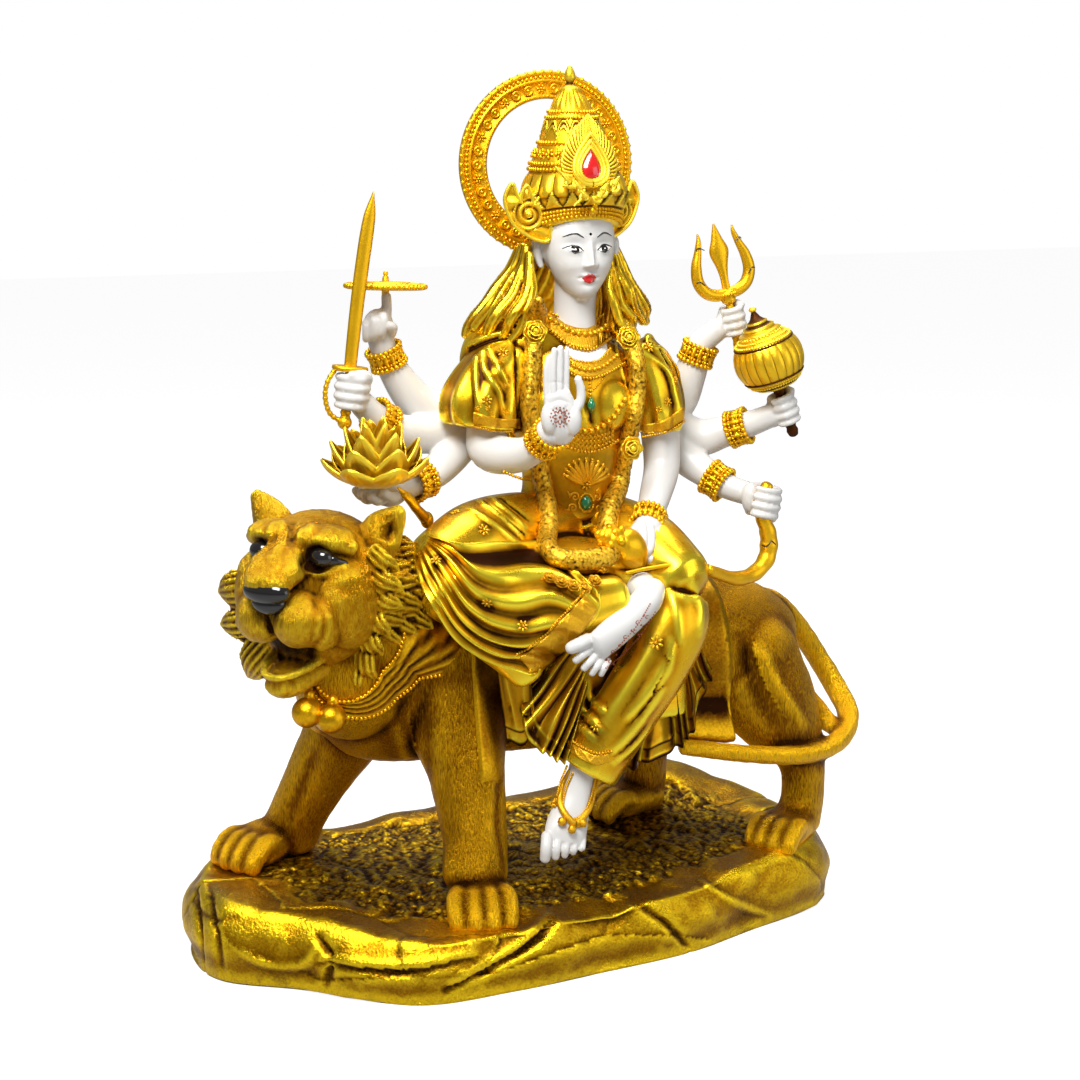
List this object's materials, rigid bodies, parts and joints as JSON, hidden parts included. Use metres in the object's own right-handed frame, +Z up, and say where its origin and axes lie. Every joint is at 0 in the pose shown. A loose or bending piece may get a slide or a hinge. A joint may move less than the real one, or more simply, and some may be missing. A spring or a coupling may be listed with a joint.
{
  "type": "eight-armed goddess figure on a lion",
  "caption": "Painted cast figure of a crowned goddess with many arms, seated sideways on a walking lion on a rocky plinth with a flat underside.",
  "frame": {"origin": "middle of the footprint box, on the surface that the plinth stands on", "axes": "+Z up, +Y behind the goddess, -Y the way she looks, -X the way the lion walks"},
  "size_m": [0.383, 0.1838, 0.45],
  "materials": {
    "gold_paint": "satin",
    "old_gold_paint": "satin",
    "white_paint": "satin",
    "black_paint": "gloss",
    "red_paint": "gloss",
    "green_paint": "gloss"
  },
  "bodies": {
    "root": {"lion_and_plinth": "old_gold_paint", "goddess": "gold_paint", "right_arms": "white_paint", "left_arms": "white_paint", "halo": "gold_paint", "sword": "gold_paint", "discus": "gold_paint", "lotus": "gold_paint", "trident": "gold_paint", "mace": "gold_paint", "bow": "gold_paint"}
  },
  "joints": []
}
